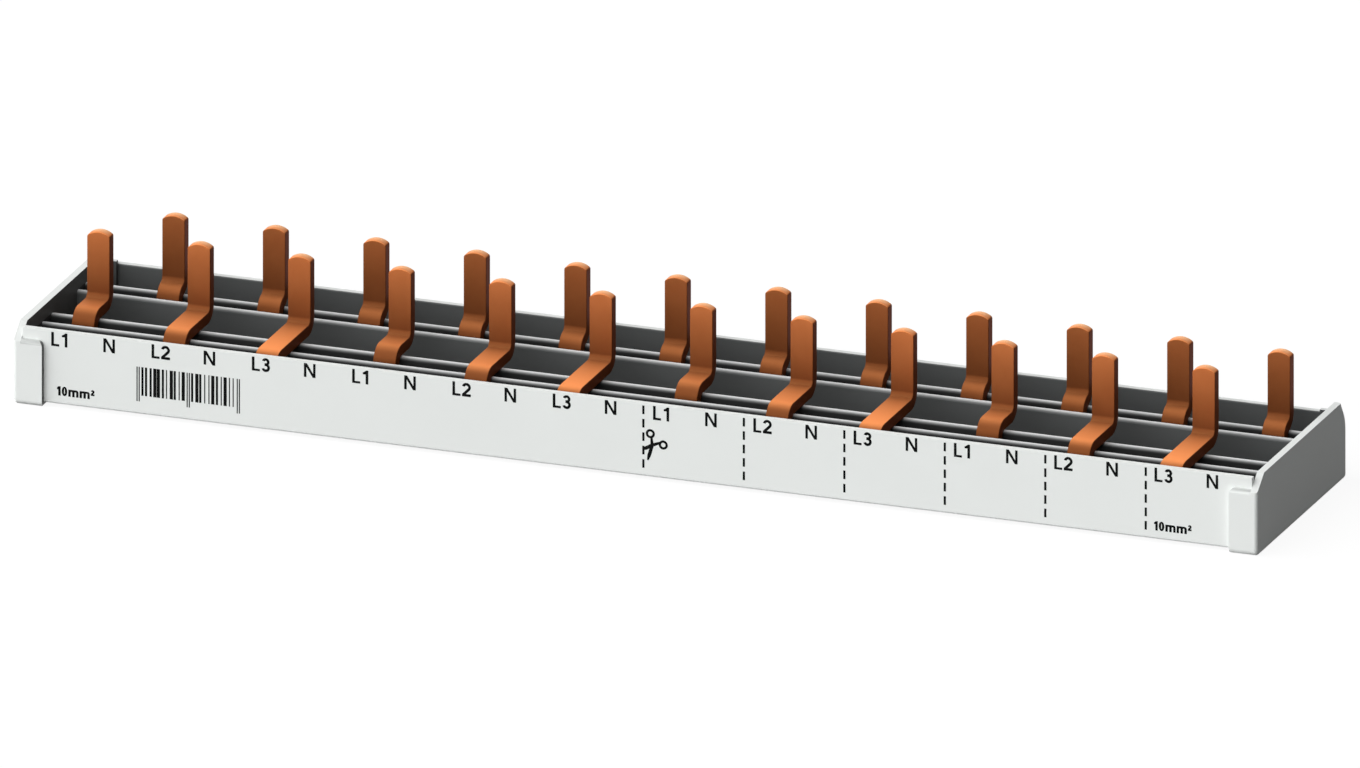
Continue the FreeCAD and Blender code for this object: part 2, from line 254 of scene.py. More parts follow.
# %% Make the two white plastics
DIE_LINE = (9.0 * MM, 0.3 * MM, 0.3 * MM)
DIE_DEPTH = 0.01 * MM
DIE_ROUGHNESS = (0.39, 0.51)
MOULD_GRAIN = (0.3 * MM, 0.3 * MM, 0.3 * MM)
MOULD_DEPTH = 0.012 * MM
MOULD_ROUGHNESS = (0.46, 0.58)
PLASTIC_RELIEF = 0.3
PLASTIC_IOR = 1.53
PLASTIC_SPECULAR = 0.2


def place_and_facing(tree):
    """A point's place, the same as three separate numbers, and the way that its face looks."""
    place = add_node(tree, "ShaderNodeTexCoord").outputs["Object"]
    normal = add_node(tree, "ShaderNodeNewGeometry").outputs["Normal"]
    axis = add_node(tree, "ShaderNodeSeparateXYZ", inputs={0: place}).outputs
    facing = add_node(tree, "ShaderNodeSeparateXYZ", inputs={0: normal}).outputs
    return place, axis, facing


def fine_surface(tree, place, grain, depth, strength, roughness):
    """Normal and roughness of a fine relief. The grain's three sizes are its lengths in metres."""
    stretched = add_node(tree, "ShaderNodeVectorMath", {"operation": "DIVIDE"}, {0: place, 1: grain})
    fine = add_node(tree, "ShaderNodeTexNoise", inputs={
        "Vector": stretched, "Scale": 1.0, "Detail": 3.0, "Roughness": 0.6})
    relief = add_node(tree, "ShaderNodeBump", inputs={
        "Strength": strength, "Distance": depth, "Height": fine})
    gloss = add_node(tree, "ShaderNodeMapRange", inputs={
        "Value": fine, "To Min": roughness[0], "To Max": roughness[1]})
    return relief, gloss


def white_plastic(name, grain, depth, roughness):
    """White plastic with painted shade and light by place and facing, and a fine relief."""
    material, tree, surface = empty_material(name)
    place, axis, facing = place_and_facing(tree)
    outside = white_with_painted_shading(tree, place, axis, facing)
    colour = inner_shade(tree, place, axis, facing, outside)
    normal, gloss = fine_surface(tree, place, grain, depth, PLASTIC_RELIEF, roughness)
    plastic = add_node(tree, "ShaderNodeBsdfPrincipled", inputs={
        "Base Color": colour, "Roughness": gloss, "IOR": PLASTIC_IOR,
        "Specular IOR Level": PLASTIC_SPECULAR, "Normal": normal})
    tree.links.new(plastic.outputs["BSDF"], surface)
    return material


extruded_pvc = white_plastic("extruded_rigid_pvc", DIE_LINE, DIE_DEPTH, DIE_ROUGHNESS)
moulded_plastic = white_plastic("spark_eroded_moulding", MOULD_GRAIN, MOULD_DEPTH, MOULD_ROUGHNESS)
print("plastics:", extruded_pvc.name, "and", moulded_plastic.name)

# %% [markdown]
# ## Copper
# The combs are bare electrolytic copper, stamped from rolled sheet. Rolling leaves a fine grain
# along the strip, oxide makes the tone uneven, and the sheared sides are rougher and browner than
# the rolled faces; their dark brown here is mostly painted shade. The real grain is a few
# hundredths of a millimetre wide, too fine to show at this distance, so it is drawn about ten
# times as coarse.
#
# The photograph's copper is matt and darkens into each corner: down the blades to their feet, and
# along each foot to its blade. A metal in a white room would mirror white there, so the darkening
# is painted shade in the colour, worked out from the height and from the distance to the blade's
# front. The crowned tips do the opposite: they get painted light, palest along their rear edge, a
# painted highlight, and faces that look up get painted light too. Even what the copper mirrors at
# a grazing angle is tinted, so that its sheared sides stay brown.

# %% Make the copper
# Painted light on faces that look up and a painted glint on the tips.
ROLLED_FACE = linear("#c27343")
ROLLED_FACE_OXIDE = linear("#ae6337")
# Dark brown of the sheared sides: browner copper, and mostly painted shade.
SHEARED_BROWN_AND_SHADE = linear("#5a2d0e")
PAINTED_TOP_LIGHT = linear("#fb9c5d")
TIP_GLINT = linear("#ffd3a6")
EDGE_TINT = linear("#ff9f62")
OXIDE_PATCH = 5.0 * MM
# Where painted shade runs down the blades, along the feet and over the bends, and where the tips'
# painted light starts.
BLADE_SHADE_END = FOOT_TOP + 1.0 * MM
FOOT_REACH = 13.0 * MM
FOOT_FALLOFF = 0.48
BEND_FALLOFF = 3.0
TIP_START = BLADE_TIP - 4.0 * MM
TIP_FULL = BLADE_TIP - 2.0 * MM
TIP_PAINTED_LIGHT = 0.85
LEVEL_FACING = (0.75, 0.95)
UPWARD_FACING = (0.42, 1.0)
SHEARED_FACING = (0.6, 0.95)
ROLLING_GRAIN = (6.0 * MM, 0.35 * MM, 0.35 * MM)
ROLLING_DEPTH = 0.01 * MM
ROLLING_RELIEF = 0.25
COPPER_ROUGHNESS = (0.46, 0.6)
COPPER_METALLIC = 0.3
COPPER_SPECULAR = 0.1


def lit_from_above(tree, axis, facing, blade_front):
    """Painted light on faces that look up: more away from the blade and at the tip, with a glint."""
    from_blade = add_node(tree, "ShaderNodeMapRange", inputs={
        "Value": axis["Y"], "From Min": blade_front, "From Max": blade_front - FOOT_REACH})
    along_foot = add_node(tree, "ShaderNodeMath", {"operation": "POWER"},
                          {0: from_blade, 1: FOOT_FALLOFF})
    at_tip = add_node(tree, "ShaderNodeMapRange", inputs={
        "Value": axis["Z"], "From Min": TIP_START, "From Max": TIP_FULL, "To Max": TIP_PAINTED_LIGHT})
    lightness = add_node(tree, "ShaderNodeMath", {"operation": "MAXIMUM"}, {0: along_foot, 1: at_tip})
    flat = add_node(tree, "ShaderNodeVectorMath", {"operation": "SCALE"},
                    {0: PAINTED_TOP_LIGHT[:3], "Scale": lightness})
    across_tip = add_node(tree, "ShaderNodeMapRange", inputs={
        "Value": axis["Y"], "From Min": blade_front, "From Max": blade_front + SHEET})
    level = add_node(tree, "ShaderNodeMapRange", inputs={
        "Value": facing["Z"], "From Min": LEVEL_FACING[0], "From Max": LEVEL_FACING[1]})
    rear = add_node(tree, "ShaderNodeMath", {"operation": "MULTIPLY"}, {0: across_tip, 1: level})
    glint = add_node(tree, "ShaderNodeMath", {"operation": "MULTIPLY"}, {0: rear, 1: at_tip})
    return add_node(tree, "ShaderNodeMix", {"data_type": "RGBA"},
                    {"Factor": glint, "A": flat, "B": TIP_GLINT})


def rolled_copper(name, blade_front, upright_painted_shade, shade_at_foot, bend_depth):
    """Bare rolled copper, with painted shade towards the corners and painted light on top faces.

    The upright painted shade dims the upright faces, and the painted shade at the foot dims them
    further down the blades. Over the bend's depth below the foot's top the foot's painted light is
    lost again.
    """
    material, tree, surface = empty_material(name)
    place, axis, facing = place_and_facing(tree)
    oxide = add_node(tree, "ShaderNodeTexNoise", inputs={
        "Vector": place, "Scale": 1 / OXIDE_PATCH, "Detail": 3.0, "Roughness": 0.55})
    face = add_node(tree, "ShaderNodeMix", {"data_type": "RGBA"}, {
        "Factor": oxide, "A": ROLLED_FACE_OXIDE, "B": ROLLED_FACE})
    # Painted shade down the blades towards their feet.
    down_the_blade = add_node(tree, "ShaderNodeMapRange", inputs={
        "Value": axis["Z"], "From Min": BLADE_SHADE_END, "From Max": BLADE_TIP,
        "To Min": shade_at_foot * upright_painted_shade, "To Max": upright_painted_shade})
    upright = add_node(tree, "ShaderNodeVectorMath", {"operation": "SCALE"},
                       {0: face, "Scale": down_the_blade})

    # Painted light on faces that look up, lost again as painted shade over the bend.
    up = add_node(tree, "ShaderNodeMapRange", inputs={
        "Value": facing["Z"], "From Min": UPWARD_FACING[0], "From Max": UPWARD_FACING[1]})
    over_bend = add_node(tree, "ShaderNodeMapRange", inputs={
        "Value": axis["Z"], "From Min": FOOT_TOP - bend_depth, "From Max": FOOT_TOP})
    kept = add_node(tree, "ShaderNodeMath", {"operation": "POWER"}, {0: over_bend, 1: BEND_FALLOFF})
    bright = add_node(tree, "ShaderNodeMath", {"operation": "MULTIPLY"}, {0: up, 1: kept})
    top = lit_from_above(tree, axis, facing, blade_front)
    rolled = add_node(tree, "ShaderNodeMix", {"data_type": "RGBA"},
                      {"Factor": bright, "A": upright, "B": top})

    # Sheared sides: dark brown, mostly painted shade.
    sideways = add_node(tree, "ShaderNodeMath", {"operation": "ABSOLUTE"}, {0: facing["X"]})
    sheared = add_node(tree, "ShaderNodeMapRange", inputs={
        "Value": sideways, "From Min": SHEARED_FACING[0], "From Max": SHEARED_FACING[1]})
    colour = add_node(tree, "ShaderNodeMix", {"data_type": "RGBA"}, {
        "Factor": sheared, "A": rolled, "B": SHEARED_BROWN_AND_SHADE})
    normal, gloss = fine_surface(
        tree, place, ROLLING_GRAIN, ROLLING_DEPTH, ROLLING_RELIEF, COPPER_ROUGHNESS)
    metal = add_node(tree, "ShaderNodeBsdfPrincipled", inputs={
        "Base Color": colour, "Metallic": COPPER_METALLIC, "Roughness": gloss,
        "Specular IOR Level": COPPER_SPECULAR, "Specular Tint": EDGE_TINT, "Normal": normal})
    tree.links.new(metal.outputs["BSDF"], surface)
    return material


# The neutral comb's copper gets more painted shade on its upright faces than the line combs'.
line_copper = rolled_copper("rolled_copper_line", LINE_BLADE_FRONT,
                            upright_painted_shade=1.0, shade_at_foot=0.32, bend_depth=1.5 * MM)
neutral_copper = rolled_copper("rolled_copper_neutral", NEUTRAL_BLADE_FRONT,
                               upright_painted_shade=0.62, shade_at_foot=0.47, bend_depth=8.0 * MM)
print("metals:", line_copper.name, "and", neutral_copper.name)

# %% [markdown]
# ## Printing ink
# The marks on the front wall are black pad-printing ink: matt, very thin, and a little uneven
# where the soft pad lifted off.

# %% Make the ink
INK_BLACK = linear("#050606")
INK_THIN = linear("#111212")
INK_SPECKLE = 0.25 * MM
INK_ROUGHNESS = 0.7
INK_SPECULAR = 0.05

ink, ink_tree, ink_surface = empty_material("pad_printing_ink")
ink_place = add_node(ink_tree, "ShaderNodeTexCoord").outputs["Object"]
film = add_node(ink_tree, "ShaderNodeTexNoise", inputs={
    "Vector": ink_place, "Scale": 1 / INK_SPECKLE, "Detail": 2.0, "Roughness": 0.5})
ink_colour = add_node(ink_tree, "ShaderNodeMix", {"data_type": "RGBA"},
                      {"Factor": film, "A": INK_BLACK, "B": INK_THIN})
ink_film = add_node(ink_tree, "ShaderNodeBsdfPrincipled", inputs={
    "Base Color": ink_colour, "Roughness": INK_ROUGHNESS,
    "Specular IOR Level": INK_SPECULAR})
ink_tree.links.new(ink_film.outputs["BSDF"], ink_surface)
print("print:", ink.name)

# %% [markdown]
# ## Cleaning up a solid's mesh
# A solid arrives as loose triangles. A copy is merged at its doubles, its flat faces are joined
# again, and it is shaded smooth except across sharp edges. A narrow bevel gives each sharp edge
# the small highlight of a real moulded or extruded edge. The copy then stands for the solid.

# %% Make the channel and the caps
SHARP_ANGLE = math.radians(35)
FLAT_ANGLE = math.radians(0.5)
MERGE = 0.001 * MM
PLASTIC_EDGE = 0.08 * MM
PLASTIC_EDGE_STEPS = 2


def shade_softly(mesh):
    """Smooth shading, with sharp edges kept where two faces meet at a clear angle."""
    mesh.shade_smooth()
    mesh.set_sharp_from_angle(angle=SHARP_ANGLE)


def worked_out(thing):
    """A new mesh of an object with its modifiers, or its curve, worked out."""
    bpy.context.view_layer.update()
    graph = bpy.context.evaluated_depsgraph_get()
    return bpy.data.meshes.new_from_object(thing.evaluated_get(graph))


def made_plain(piece):
    """Turns a piece and its modifiers into a plain mesh."""
    mesh = worked_out(piece)
    piece.modifiers.clear()
    piece.data = mesh
    return piece


def placed(name, mesh, material):
    """A new piece at the origin, with its place in its mesh."""
    mesh.materials.clear()
    mesh.materials.append(material)
    piece = bpy.data.objects.new(name, mesh)
    bpy.context.scene.collection.objects.link(piece)
    return piece


def flat_faces_kept(piece):
    """Normals weighted by area, so that narrow rounds don't bend the shading of flat faces."""
    weighted = piece.modifiers.new("flat faces stay flat", "WEIGHTED_NORMAL")
    weighted.keep_sharp = True
    return made_plain(piece)


def soft_edged(node, name, material):
    """A merged copy of a CAD node's mesh with narrow soft edges."""
    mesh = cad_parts[node].data.copy()
    shell = bmesh.new()
    shell.from_mesh(mesh)
    bmesh.ops.remove_doubles(shell, verts=shell.verts, dist=MERGE)
    bmesh.ops.dissolve_limit(shell, angle_limit=FLAT_ANGLE, verts=shell.verts, edges=shell.edges)
    shell.to_mesh(mesh)
    shell.free()
    piece = placed(name, mesh, material)
    bevel = piece.modifiers.new("soft edges", "BEVEL")
    bevel.width = PLASTIC_EDGE
    bevel.segments = PLASTIC_EDGE_STEPS
    bevel.limit_method = "ANGLE"
    bevel.angle_limit = SHARP_ANGLE
    made_plain(piece)
    shade_softly(piece.data)
    flat_faces_kept(piece)
    print(name, "faces", len(piece.data.polygons))
    return piece


channel = soft_edged("insulating_profile", "insulating_channel", extruded_pvc)
left_cap = soft_edged("end_cap_left", "left_end_cap", moulded_plastic)
right_cap = soft_edged("end_cap_right", "right_end_cap", moulded_plastic)

# %% [markdown]
# ## A comb is cut flat and then folded
# A real comb is stamped from a flat sheet and its tabs are folded over in a press. The same is
# done here: an outline with all the tabs is filled, given its thickness and soft edges, cut
# across where it will bend, and each point is then carried onto the folded path. The bends come
# out round, and the whole comb is one closed skin.

# %% Draw the flat blank
STRIP_HEIGHT = 5.0 * MM
BLADE_HALF = 2.025 * MM
ROOT_RADIUS = 1.0 * MM
TIP_CROWN = 0.75 * MM
TIP_CORNER = 0.45 * MM
SHEARED_EDGE = 0.13 * MM
SHEARED_EDGE_STEPS = 3
ROOT_STEPS = 5
CORNER_STEPS = 3
CROWN_STEPS = 12
STRIP_HALF = neutral_high.x


def arc(centre, radius, start, end, steps):
    """Points on an arc, with its two ends. The angles are in degrees."""
    points = []
    for step in range(steps + 1):
        angle = math.radians(start + (end - start) * step / steps)
        points.append((centre[0] + radius * math.cos(angle), centre[1] + radius * math.sin(angle)))
    return points


def tab_outline(middle, length):
    """One tab, from the right root over the crowned tip to the left root."""
    crown_radius = (BLADE_HALF ** 2 + TIP_CROWN ** 2) / (2 * TIP_CROWN)
    crown_centre = length - crown_radius
    reach = BLADE_HALF - TIP_CORNER
    corner_height = crown_centre + math.sqrt((crown_radius - TIP_CORNER) ** 2 - reach ** 2)
    lean = math.degrees(math.atan2(corner_height - crown_centre, reach))
    root = BLADE_HALF + ROOT_RADIUS
    root_height = STRIP_HEIGHT + ROOT_RADIUS
    points = arc((middle + root, root_height), ROOT_RADIUS, 270, 180, ROOT_STEPS)
    points += arc((middle + reach, corner_height), TIP_CORNER, 0, lean, CORNER_STEPS)
    points += arc((middle, crown_centre), crown_radius, lean, 180 - lean, CROWN_STEPS)[1:-1]
    points += arc((middle - reach, corner_height), TIP_CORNER, 180 - lean, 180, CORNER_STEPS)
    points += arc((middle - root, root_height), ROOT_RADIUS, 0, -90, ROOT_STEPS)
    return points


def flat_blank(tab_middles, length, bend_marks):
    """The blank as a closed skin: X along the strip, Y along the tabs, Z through the sheet."""
    outline = [(-STRIP_HALF, 0.0), (STRIP_HALF, 0.0), (STRIP_HALF, STRIP_HEIGHT)]
    for middle in sorted(tab_middles, reverse=True):
        outline += tab_outline(middle, length)
    outline.append((-STRIP_HALF, STRIP_HEIGHT))
    blank = bmesh.new()
    lower = blank.faces.new([blank.verts.new((x, y, -SHEET / 2)) for x, y in outline])
    extruded = bmesh.ops.extrude_face_region(blank, geom=[lower])["geom"]
    lifted = [item for item in extruded if isinstance(item, bmesh.types.BMVert)]
    bmesh.ops.translate(blank, verts=lifted, vec=(0, 0, SHEET))
    bmesh.ops.recalc_face_normals(blank, faces=blank.faces)
    rim = [edge for edge in blank.edges if abs(edge.verts[0].co.z - edge.verts[1].co.z) < MERGE]
    bmesh.ops.bevel(blank, geom=rim, offset=SHEARED_EDGE, offset_type="OFFSET", profile=0.5,
                    segments=SHEARED_EDGE_STEPS, affect="EDGES", clamp_overlap=True)
    for mark in bend_marks:
        everything = blank.verts[:] + blank.edges[:] + blank.faces[:]
        bmesh.ops.bisect_plane(blank, geom=everything, plane_co=(0, mark, 0), plane_no=(0, 1, 0))
    return blank

# %% [markdown]
# The folded path is an upright run, a bend, the foot over the ribs, a bend back and the blade.
# The neutral blades stand so near their strip that the foot has no straight run left: there
# the two bends follow each other and turn by less than a right angle.

# %% Fold the combs
BEND_RADIUS = 2.0 * MM
BEND_STEPS = 12
FOOT_MIDDLE = FOOT_TOP - SHEET / 2


def folded_path(offset):
    """Upright run, turn, foot and blade of the path, for blades at that distance from the strip."""
    turn = math.pi / 2
    if offset < 2 * BEND_RADIUS:
        turn = math.acos(1 - offset / (2 * BEND_RADIUS))
    climb = offset / math.tan(turn)
    tangent = BEND_RADIUS * math.tan(turn / 2)
    upright = FOOT_MIDDLE - climb / 2 - CHANNEL_FLOOR - tangent
    foot = math.hypot(offset, climb) - 2 * tangent
    blade = BLADE_TIP - FOOT_MIDDLE - climb / 2 - tangent
    return upright, turn, max(foot, 0.0), blade


def carried(along, through, upright, turn, foot):
    """Where a point of the blank ends up: how far back and how high."""
    bend = BEND_RADIUS * turn
    back = 0.0
    height = min(along, upright)
    angle = 0.0
    left = along - upright
    if left > 0:
        angle = min(left, bend) / BEND_RADIUS
        back += BEND_RADIUS * (1 - math.cos(angle))
        height += BEND_RADIUS * math.sin(angle)
        left -= bend
    if left > 0:
        run = min(left, foot)
        back += run * math.sin(turn)
        height += run * math.cos(turn)
        left -= foot
    if left > 0:
        angle = turn - min(left, bend) / BEND_RADIUS
        back += BEND_RADIUS * (math.cos(angle) - math.cos(turn))
        height += BEND_RADIUS * (math.sin(turn) - math.sin(angle))
        left -= bend
    if left > 0:
        height += left
    return back + through * math.cos(angle), height - through * math.sin(angle)


def folded_comb(node, name, tab_middles, material):
    """Cuts and folds one comb where its solid stands."""
    low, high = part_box(node)
    upright, turn, foot, blade = folded_path(high.y - low.y - SHEET)
    bend = BEND_RADIUS * turn
    marks = []
    for start in (upright, upright + bend + foot):
        marks += [start + bend * step / BEND_STEPS for step in range(BEND_STEPS + 1)]
    comb = flat_blank(tab_middles, upright + 2 * bend + foot + blade, marks)
    for vertex in comb.verts:
        back, height = carried(vertex.co.y, vertex.co.z, upright, turn, foot)
        vertex.co.y = low.y + SHEET / 2 + back
        vertex.co.z = CHANNEL_FLOOR + height
    bmesh.ops.remove_doubles(comb, verts=comb.verts, dist=MERGE)
    bmesh.ops.recalc_face_normals(comb, faces=comb.faces)
    mesh = bpy.data.meshes.new(name)
    comb.to_mesh(mesh)
    comb.free()
    shade_softly(mesh)
    piece = flat_faces_kept(placed(name, mesh, material))
    print(name, "faces", len(piece.data.polygons), "foot", round(foot / MM, 2), "mm")
    return piece


combs = []
for line in range(LINES):
    middles = [-LAST_BLADE + (line + LINES * turn) * PITCH for turn in range(MODULES // LINES)]
    node = "busbar_l" + str(line + 1)
    combs.append((folded_comb(node, "line_comb_" + str(line + 1), middles, line_copper), node))
neutral_middles = [LAST_BLADE - turn * PITCH for turn in range(MODULES)]
combs.append((folded_comb("busbar_n", "neutral_comb", neutral_middles, neutral_copper), "busbar_n"))

# %% [markdown]
# ## Lettering as outlines
# The printed letters are plain grotesque capitals and digits with strokes of one width. Blender's
# own font is lighter and its figure one has no flag, so the few signs are drawn as outlines: each
# has only the corners and arcs that its shape needs, for any height and stroke.

# %% Draw the signs
def letter_l(height, stroke):
    """Width and outlines of a capital L. Its foot is a little thinner than its stem."""
    width = 0.58 * height
    foot = 0.85 * stroke
    return width, [[(0, 0), (width, 0), (width, foot), (stroke, foot),
                    (stroke, height), (0, height)]]


def letter_n(height, stroke):
    """Width and outlines of a capital N. The diagonal is a little wider than the stems."""
    width = 0.84 * height
    slant = 1.15 * stroke
    run = width - slant
    low = height * (1 - stroke / run)
    high = height * stroke / run
    return width, [[(0, 0), (stroke, 0), (stroke, low), (run, 0), (width, 0), (width, height),
                    (width - stroke, height), (width - stroke, high), (slant, height), (0, height)]]


def digit_1(height, stroke):
    """Width and outlines of a one with a flag. It stands a little to the right in its width."""
    width = 0.475 * height
    stem = width - stroke
    flag = 0.84 * height
    flag_foot = flag - 0.7 * stroke
    start = 0.08 * height
    middle = ((start + stem) / 2, flag + 0.2 * stroke)
    return width, [[(stem, 0), (width, 0), (width, height), (width - 0.8 * stroke, height),
                    middle, (start, flag), (start, flag_foot), (stem, flag_foot)]]


def digit_2(height, stroke):
    """Width and outlines of a two: an arc, a diagonal at half a right angle and a base."""
    width = 0.64 * height
    centre = (width / 2, height - width / 2)
    outer = arc(centre, width / 2, 168, -45, 12)
    inner = arc(centre, width / 2 - stroke, -45, 168, 12)
    base_start = outer[-1][0] - (outer[-1][1] - stroke)
    heel = inner[0][1] - inner[0][0]
    base = [(base_start, stroke), (width, stroke), (width, 0), (0, 0), (0, heel)]
    return width, [outer + base + inner]


def digit_3(height, stroke):
    """Width and outlines of a three: two round bowls that meet at the waist."""
    width = 0.62 * height
    upper, lower = 0.28 * height, 0.31 * height
    top = (width / 2, height - upper)
    bottom = (width / 2, lower)
    apart = top[1] - bottom[1]
    drop = (upper ** 2 - lower ** 2 + apart ** 2) / (2 * apart)
    notch_above = math.degrees(math.acos(drop / upper)) - 90
    notch_below = 90 - math.degrees(math.acos((apart - drop) / lower))
    outline = arc(top, upper, 162, notch_above, 10)
    outline += arc(bottom, lower, notch_below, -162, 10)[1:]
    outline += arc(bottom, lower - stroke, -162, 90, 10)
    tongue = width / 2 - 0.08 * height
    outline += [(tongue, bottom[1] + lower - stroke), (tongue, top[1] - upper + stroke)]
    outline += arc(top, upper - stroke, -90, 162, 10)
    return width, [outline]


def digit_0(height, stroke):
    """Width and outlines of a nought: an outer and an inner oval."""
    width = 0.6 * height
    circle = arc((0, 0), 1.0, 0, 360, 24)[:-1]
    outlines = []
    for inset in (0.0, stroke):
        wide = width / 2 - inset
        tall = height / 2 - 0.8 * inset
        outlines.append([(width / 2 + wide * x, height / 2 + tall * y) for x, y in circle])
    return width, outlines


def letter_m(height, stroke):
    """Width and outlines of a small m: two arched slots in a block with a round shoulder."""
    tall = 0.75 * height
    slot = 0.17 * height
    width = 3 * stroke + 2 * slot
    spring = tall - 0.8 * stroke - slot / 2
    shoulder = 0.25 * height
    outline = [(0, 0)]
    for turn in range(2):
        left = stroke + turn * (stroke + slot)
        outline.append((left, 0))
        outline += arc((left + slot / 2, spring), slot / 2, 180, 0, 6)
        outline.append((left + slot, 0))
    outline.append((width, 0))
    outline += arc((width - shoulder, tall - shoulder), shoulder, 0, 90, 6)
    outline.append((0, tall))
    return width, [outline]


def raised_2(height, stroke):
    """Width and outlines of a small raised two."""
    size = 0.62 * height
    width, outlines = digit_2(size, 0.7 * stroke)
    return width, [[(x, y + height - size) for x, y in outline] for outline in outlines]


SIGNS = {"L": letter_l, "N": letter_n, "0": digit_0, "1": digit_1, "2": digit_2, "3": digit_3,
         "m": letter_m, "²": raised_2}


def word(text, height, stroke, gap):
    """The outlines of a word, sign after sign, from its lower left corner."""
    outlines = []
    left = 0.0
    for sign in text:
        width, shapes = SIGNS[sign](height, stroke)
        outlines += [[(left + x, y) for x, y in shape] for shape in shapes]
        left += width + gap
    return outlines


print("signs:", " ".join(SIGNS))

# %% [markdown]
# A flat curve fills outlines by itself, holes too, and gives them the ink's thickness. It is made
# a mesh first. Only then is each point turned up and set against the wall, because a piece's
# place belongs in its mesh.

# %% Ink a shape onto the front wall
INK = 0.02 * MM


def inked(name, outlines, thickness=INK):
    """Closed flat shapes that stand against the front wall. X runs along it and Y goes up."""
    curve = bpy.data.curves.new(name, "CURVE")
    curve.dimensions = "2D"
    curve.fill_mode = "BOTH"
    curve.extrude = thickness / 2
    for outline in outlines:
        spline = curve.splines.new("POLY")
        spline.points.add(len(outline) - 1)
        for point, (x, y) in zip(spline.points, outline):
            point.co = (x, y, 0, 1)
        spline.use_cyclic_u = True
    drawn = bpy.data.objects.new(name, curve)
    bpy.context.scene.collection.objects.link(drawn)
    mesh = worked_out(drawn)
    bpy.data.objects.remove(drawn)
    shell = bmesh.new()
    shell.from_mesh(mesh)
    for vertex in shell.verts:
        x, y, z = vertex.co
        vertex.co = (x, FRONT_WALL - thickness / 2 - z, y)
    bmesh.ops.remove_doubles(shell, verts=shell.verts, dist=MERGE)
    bmesh.ops.recalc_face_normals(shell, faces=shell.faces)
    shell.to_mesh(mesh)
    shell.free()
    return placed(name, mesh, ink)

# %% [markdown]
# ## Rows of print, set out by Geometry Nodes
# Marks that repeat are one shape set out along the wall. A node tree does that: a line of points,
# the shape on each point, and at the end the copies are made real, because only real faces are
# exported. Its start, step and count are named inputs, so one tree serves every row.

# %% Build the tree for a row
ROW_INPUTS = (("First", "NodeSocketVector"), ("Step", "NodeSocketVector"),
              ("Count", "NodeSocketInt"), ("Material", "NodeSocketMaterial"))


def new_tree(name, more_inputs=()):
    """A geometry tree with its inputs and a line of points from First, Step and Count."""
    tree = bpy.data.node_groups.new(name, "GeometryNodeTree")
    tree.interface.new_socket("Geometry", in_out="INPUT", socket_type="NodeSocketGeometry")
    tree.interface.new_socket("Geometry", in_out="OUTPUT", socket_type="NodeSocketGeometry")
    for label, kind in ROW_INPUTS + more_inputs:
        tree.interface.new_socket(label, in_out="INPUT", socket_type=kind)
    given = add_node(tree, "NodeGroupInput").outputs
    points = add_node(tree, "GeometryNodeMeshLine", inputs={
        "Count": given["Count"], "Start Location": given["First"], "Offset": given["Step"]})
    return tree, given, points.outputs["Mesh"]


def finish_tree(tree, given, copies):
    """Makes the copies real, gives them their material and hands them on."""
    real = add_node(tree, "GeometryNodeRealizeInstances",
                    inputs={"Geometry": copies})
    painted = add_node(tree, "GeometryNodeSetMaterial", inputs={
        "Geometry": real, "Material": given["Material"]})
    add_node(tree, "NodeGroupOutput", inputs={"Geometry": painted})


def grown(piece, tree, values):
    """Runs a tree on a piece with the given inputs and keeps the result as a plain mesh."""
    modifier = piece.modifiers.new(tree.name, "NODES")
    modifier.node_group = tree
    for item in tree.interface.items_tree:
        if item.in_out == "INPUT" and item.name in values:
            modifier[item.identifier] = values[item.name]
    return made_plain(piece)


row_tree, given, points = new_tree("row along the wall")
copies = add_node(row_tree, "GeometryNodeInstanceOnPoints", inputs={
    "Points": points, "Instance": given["Geometry"]})
finish_tree(row_tree, given, copies)
print("tree:", row_tree.name)

# %% [markdown]
# Each line's name stands in front of its blades and an N in front of each neutral blade. The
# names are printed a hair closer together than the blades stand. The conductor's cross-section,
# 2 mm of sheet times 5 mm of strip, stands in bold near both ends.

# %% Print the letters
LETTER_HEIGHT = 2.47 * MM
LETTER_STROKE = 0.47 * MM
NEUTRAL_STROKE = 0.44 * MM
LETTER_GAP = 0.28 * MM
LETTER_FOOT = 10.94 * MM
LINE_NAME_LEFT = -1.47 * MM
NEUTRAL_NAME_LEFT = -1.14 * MM
NAME_PITCH = 17.967 * MM
SECTION_HEIGHT = 1.66 * MM
SECTION_STROKE = 0.42 * MM
SECTION_GAP = 0.19 * MM
SECTION_FOOT = 2.24 * MM
SECTION_PLACES = (-104.08 * MM, 92.45 * MM)

prints = []
for line in range(LINES):
    name = word("L" + str(line + 1), LETTER_HEIGHT, LETTER_STROKE, LETTER_GAP)
    prints.append(grown(inked("print_line_" + str(line + 1), name), row_tree, {
        "First": (-LAST_BLADE + line * NAME_PITCH + LINE_NAME_LEFT, 0, LETTER_FOOT),
        "Step": (LINES * NAME_PITCH, 0, 0), "Count": MODULES // LINES, "Material": ink}))
neutral_name = word("N", LETTER_HEIGHT, NEUTRAL_STROKE, LETTER_GAP)
prints.append(grown(inked("print_neutral", neutral_name), row_tree, {
    "First": (-LAST_BLADE + PITCH / 2 + NEUTRAL_NAME_LEFT, 0, LETTER_FOOT),
    "Step": (NAME_PITCH, 0, 0), "Count": MODULES, "Material": ink}))
section = word("10mm²", SECTION_HEIGHT, SECTION_STROKE, SECTION_GAP)
prints.append(grown(inked("print_cross_section", section), row_tree, {
    "First": (SECTION_PLACES[0], 0, SECTION_FOOT),
    "Step": (SECTION_PLACES[1] - SECTION_PLACES[0], 0, 0), "Count": len(SECTION_PLACES),
    "Material": ink}))
for piece in prints:
    print(piece.name, "faces", len(piece.data.polygons))

